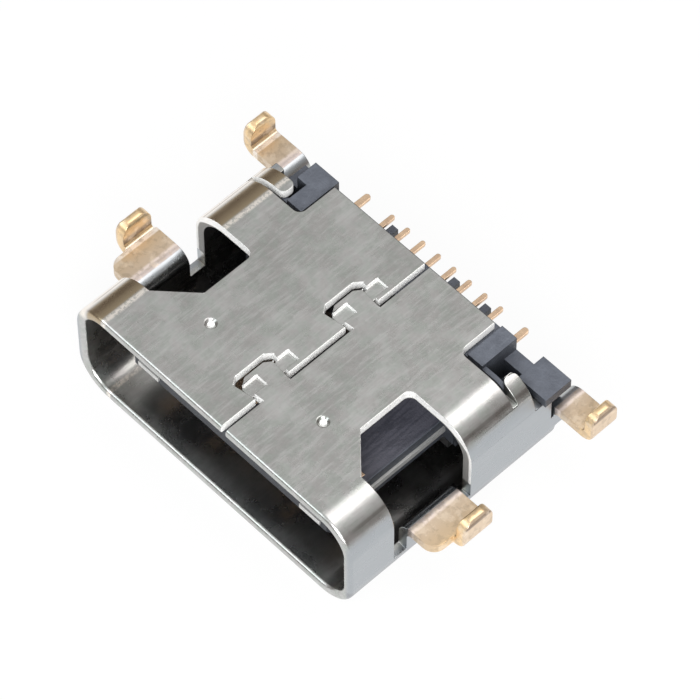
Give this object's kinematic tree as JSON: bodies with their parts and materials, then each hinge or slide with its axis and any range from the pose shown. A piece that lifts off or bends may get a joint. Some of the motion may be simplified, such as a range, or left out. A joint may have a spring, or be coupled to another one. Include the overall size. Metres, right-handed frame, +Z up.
{
  "type": "usb-c socket",
  "caption": "Mid-mount reversible data and charging socket: rolled steel shell with soldered legs, moulded tongue with contacts, and a row of solder tails.",
  "frame": {"origin": "centre of the plug opening, in the plane of its front rim", "axes": "+X across the socket, +Y from the opening to the solder tails, +Z up towards the seam side; the part rests on its smooth face below"},
  "size_m": [0.0112, 0.0073, 0.0032],
  "materials": {
    "plated_shell": "satin nickel-plated stainless steel, gold-washed on the leg tips",
    "black_plastic": "matt black glass-filled moulding",
    "steel_plate": "bright stainless steel",
    "gold_plated_contact": "gold-plated copper alloy"
  },
  "bodies": {
    "root": {"shell": "plated_shell", "housing": "black_plastic", "upper_insert": "black_plastic", "lower_insert": "black_plastic", "mid_plate": "steel_plate", "emi_collar_upper": "steel_plate", "emi_collar_lower": "steel_plate", "contact_A1": "gold_plated_contact", "contact_A4": "gold_plated_contact", "contact_A5": "gold_plated_contact", "contact_A6": "gold_plated_contact", "contact_A7": "gold_plated_contact", "contact_A8": "gold_plated_contact", "contact_A9": "gold_plated_contact", "contact_A12": "gold_plated_contact", "contact_B1": "gold_plated_contact", "contact_B4": "gold_plated_contact", "contact_B5": "gold_plated_contact", "contact_B6": "gold_plated_contact", "contact_B7": "gold_plated_contact", "contact_B8": "gold_plated_contact", "contact_B9": "gold_plated_contact", "contact_B12": "gold_plated_contact"}
  },
  "joints": []
}
